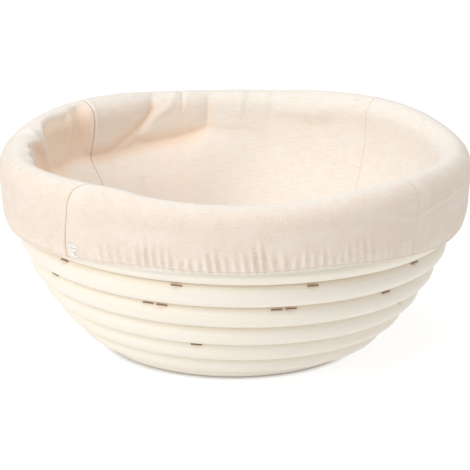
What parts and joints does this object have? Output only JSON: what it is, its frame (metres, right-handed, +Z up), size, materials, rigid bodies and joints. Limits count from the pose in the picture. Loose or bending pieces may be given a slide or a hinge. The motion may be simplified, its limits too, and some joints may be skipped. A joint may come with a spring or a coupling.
{
  "type": "round cane proofing basket with cloth liner",
  "caption": "Round bowl-shaped bread proofing basket of coil-wound cane, stapled turn to turn, with a sewn cotton liner folded over the rim and held by an elastic hem.",
  "frame": {"origin": "centre of the base, on the surface that the basket stands on", "axes": "+Z up along the bowl's axis; -Y is the front of the picture, +X its right"},
  "size_m": [0.2026, 0.2026, 0.0873],
  "materials": {
    "cane": "bare peeled rattan cane, smooth, with fine lengthwise fibre",
    "staple_wire": "dark tarnished steel wire",
    "liner_cloth": "unbleached plain-weave cotton, soft and lightly creased",
    "elastic": "white knitted elastic"
  },
  "bodies": {
    "basket": {"base_cane": "cane", "lower_wall_cane": "cane", "upper_wall_cane": "cane", "rim_cane": "cane", "staple_01": "staple_wire", "staple_02": "staple_wire", "staple_03": "staple_wire", "staple_04": "staple_wire", "staple_05": "staple_wire", "staple_06": "staple_wire", "staple_07": "staple_wire", "staple_08": "staple_wire", "staple_09": "staple_wire", "staple_10": "staple_wire", "staple_11": "staple_wire", "staple_12": "staple_wire", "staple_13": "staple_wire", "staple_14": "staple_wire", "staple_15": "staple_wire", "staple_16": "staple_wire", "staple_17": "staple_wire", "staple_18": "staple_wire", "staple_19": "staple_wire", "staple_20": "staple_wire", "staple_21": "staple_wire", "staple_22": "staple_wire", "staple_23": "staple_wire", "staple_24": "staple_wire", "staple_25": "staple_wire", "staple_26": "staple_wire", "staple_27": "staple_wire", "staple_28": "staple_wire", "staple_29": "staple_wire", "staple_30": "staple_wire", "staple_31": "staple_wire", "staple_32": "staple_wire", "staple_33": "staple_wire", "staple_34": "staple_wire", "staple_35": "staple_wire", "staple_36": "staple_wire", "staple_37": "staple_wire", "staple_38": "staple_wire", "staple_39": "staple_wire", "staple_40": "staple_wire", "staple_41": "staple_wire", "staple_42": "staple_wire", "staple_43": "staple_wire", "staple_44": "staple_wire", "staple_45": "staple_wire"},
    "liner": {"liner_gore_back": "liner_cloth", "liner_gore_left": "liner_cloth", "liner_gore_front": "liner_cloth", "liner_gore_right": "liner_cloth", "hem_casing_back": "liner_cloth", "hem_casing_left": "liner_cloth", "hem_casing_front": "liner_cloth", "hem_casing_right": "liner_cloth", "hem_elastic": "elastic"}
  },
  "joints": [
    {"name": "liner_lift", "type": "slide", "parent": "basket", "child": "liner", "axis": [0, 0, 1], "range_m": [0, 0.1], "deforming": ["hem_casing_back", "hem_casing_left", "hem_casing_front", "hem_casing_right", "hem_elastic"]}
  ]
}
